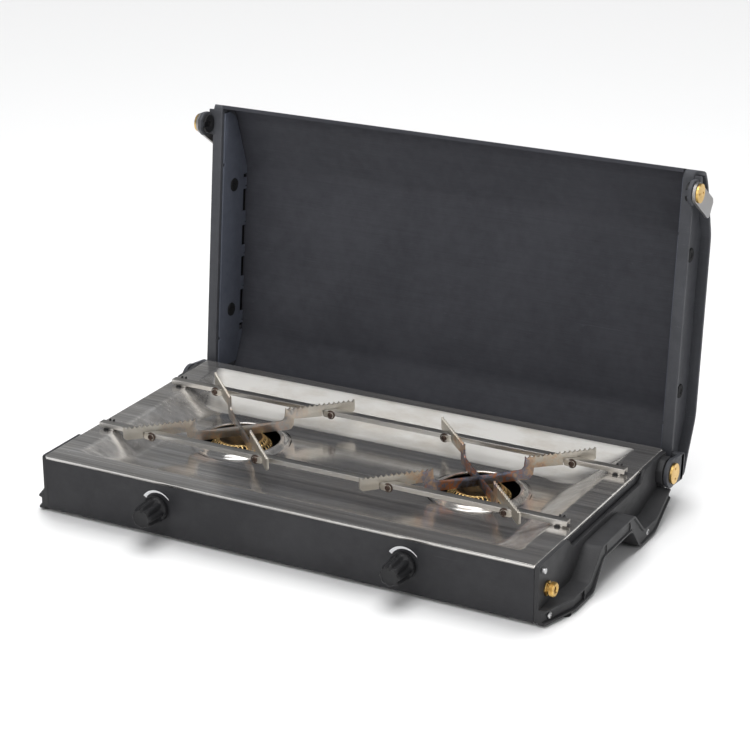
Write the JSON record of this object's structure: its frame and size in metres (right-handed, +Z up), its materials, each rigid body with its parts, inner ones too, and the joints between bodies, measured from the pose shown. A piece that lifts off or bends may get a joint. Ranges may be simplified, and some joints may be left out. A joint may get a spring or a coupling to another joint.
{
  "type": "camping stove",
  "caption": "Folding two-burner gas camping stove: flat sheet-metal case with a steel drip pan, toothed pot supports, front knobs and a domed lid that stands open as a wind screen.",
  "frame": {"origin": "on the ground, in the middle of the open stove's footprint", "axes": "+X to the stove's right, seen from the front; -Y towards the user and the knobs; +Z up"},
  "size_m": [0.544, 0.3884, 0.3185],
  "materials": {
    "case_paint": "fine satin powder coat, charcoal",
    "frame_plastic": "finely textured warm grey moulding",
    "lid_side_plastic": "finely textured dark grey moulding",
    "pan_steel": "bright sheet, lightly brushed across, soft stains",
    "grate_steel": "stamped stainless with heat tint near the burners",
    "rivet_steel": "heat-darkened rivet heads",
    "fastener_steel": "bright plated steel",
    "lever_steel": "grey satin stamped plate",
    "latch_black": "black moulding",
    "knob_black": "soft satin black",
    "clip_black": "heat-resistant black moulding",
    "brass": "turned brass",
    "burner_brass": "perforated brass, heat-tinted",
    "burner_steel": "scorched dark steel",
    "burner_alloy": "cast, slightly dull",
    "plain_steel": "plain zinc-grey steel",
    "line_metal": "drawn tube",
    "rubber": "matte black rubber"
  },
  "bodies": {
    "base": {"base_tray": "case_paint", "side_frame_left": "frame_plastic", "side_frame_right": "frame_plastic", "frame_screws": "fastener_steel", "catch_studs": "fastener_steel", "foot_pads": "rubber", "drip_pan": "pan_steel", "rail_clips": "clip_black", "gas_line": "line_metal", "gas_inlet": "brass", "inlet_nut": "brass", "valve_body_left": "brass", "valve_body_right": "brass", "jet_left": "brass", "jet_right": "brass", "mixing_tube_left": "plain_steel", "mixing_tube_right": "plain_steel", "burner_bowl_left": "burner_alloy", "burner_bowl_right": "burner_alloy", "burner_ring_left": "burner_brass", "burner_ring_right": "burner_brass", "burner_cone_left": "burner_steel", "burner_cone_right": "burner_steel", "burner_bracket_left": "plain_steel", "burner_bracket_right": "plain_steel", "hinge_bolt_left": "fastener_steel", "hinge_bolt_right": "fastener_steel", "hinge_cap_left": "brass", "hinge_cap_right": "brass"},
    "lid": {"lid_panel": "case_paint", "lid_side_left": "lid_side_plastic", "lid_side_right": "lid_side_plastic", "lid_plugs": "rubber"},
    "latch_left": {"latch_cam_left": "latch_black", "latch_lever_left": "lever_steel", "latch_cap_left": "brass"},
    "latch_right": {"latch_cam_right": "latch_black", "latch_lever_right": "lever_steel", "latch_cap_right": "brass"},
    "burner_control_left": {"knob_left": "knob_black", "valve_spindle_left": "plain_steel"},
    "burner_control_right": {"knob_right": "knob_black", "valve_spindle_right": "plain_steel"},
    "pot_support": {"front_rail": "grate_steel", "rear_rail": "grate_steel", "pot_arm_left_a": "grate_steel", "pot_arm_left_b": "grate_steel", "pot_arm_right_a": "grate_steel", "pot_arm_right_b": "grate_steel", "arm_rivets": "rivet_steel"}
  },
  "joints": [
    {"name": "lid_hinge", "type": "hinge", "parent": "base", "child": "lid", "pos_m": [0, 0.10378, 0.04], "axis": [1, 0, 0], "range_deg": [0, 96]},
    {"name": "latch_turn_left", "type": "hinge", "parent": "lid", "child": "latch_left", "pos_m": [-0.26, 0.14141, 0.30049], "axis": [-1, 0, 0], "range_deg": [0, 65]},
    {"name": "latch_turn_right", "type": "hinge", "parent": "lid", "child": "latch_right", "pos_m": [0.26, 0.14141, 0.30049], "axis": [-1, 0, 0], "range_deg": [0, 65]},
    {"name": "knob_turn_left", "type": "hinge", "parent": "base", "child": "burner_control_left", "pos_m": [-0.127, -0.16622, 0.03], "axis": [0, -1, 0], "range_deg": [0, 160]},
    {"name": "knob_turn_right", "type": "hinge", "parent": "base", "child": "burner_control_right", "pos_m": [0.127, -0.16622, 0.03], "axis": [0, -1, 0], "range_deg": [0, 160]},
    {"name": "pot_support_lift", "type": "slide", "parent": "base", "child": "pot_support", "axis": [0, 0, 1], "range_m": [0, 0.12]}
  ]
}
